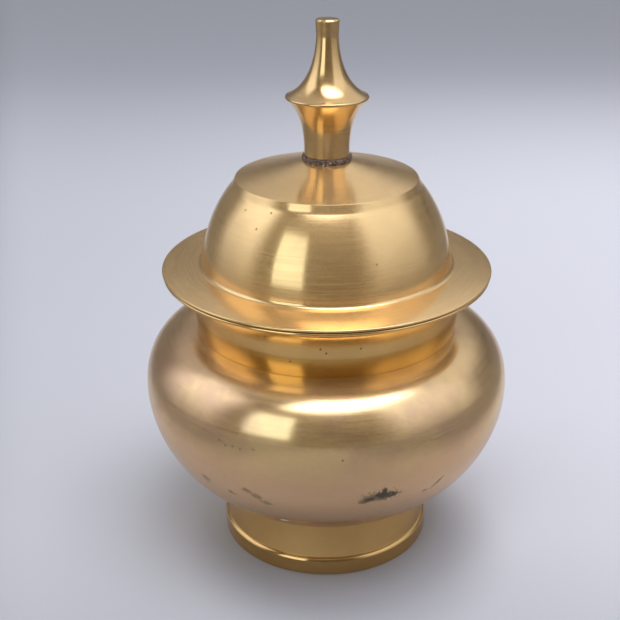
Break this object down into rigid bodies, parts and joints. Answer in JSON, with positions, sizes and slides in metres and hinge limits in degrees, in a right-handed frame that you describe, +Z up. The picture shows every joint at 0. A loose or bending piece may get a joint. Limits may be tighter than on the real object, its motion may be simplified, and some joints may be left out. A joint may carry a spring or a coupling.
{
  "type": "lidded rice bowl",
  "caption": "Round lidded bowl in turned brass on a stepped foot ring, with a flared mouth and a domed lid that lifts off by a tall knob.",
  "frame": {"origin": "centre of the foot's level underside, at the height of the table", "axes": "+Z up along the turning axis; the piece is round about it, so X and Y are any two square directions"},
  "size_m": [0.1, 0.1, 0.1458],
  "materials": {
    "pale_brass": "satin turned brass, lightly stained",
    "gold_brass": "polished turned brass with fine tool marks",
    "knob_brass": "turned brass, a little darker in its hollows",
    "raw_brass": "unpolished brass",
    "dark_solder": "rough, darkened solder"
  },
  "bodies": {
    "bowl": {"foot_ring": "gold_brass", "foot_solder_fillet": "dark_solder", "belly_shell": "pale_brass", "neck_collar": "gold_brass"},
    "lid": {"lid_shell": "gold_brass", "lid_locating_ring": "raw_brass", "knob_solder_collar": "dark_solder", "knob": "knob_brass"}
  },
  "joints": [
    {"name": "lid_lift", "type": "slide", "parent": "bowl", "child": "lid", "axis": [0, 0, 1], "range_m": [0, 0.08]}
  ]
}
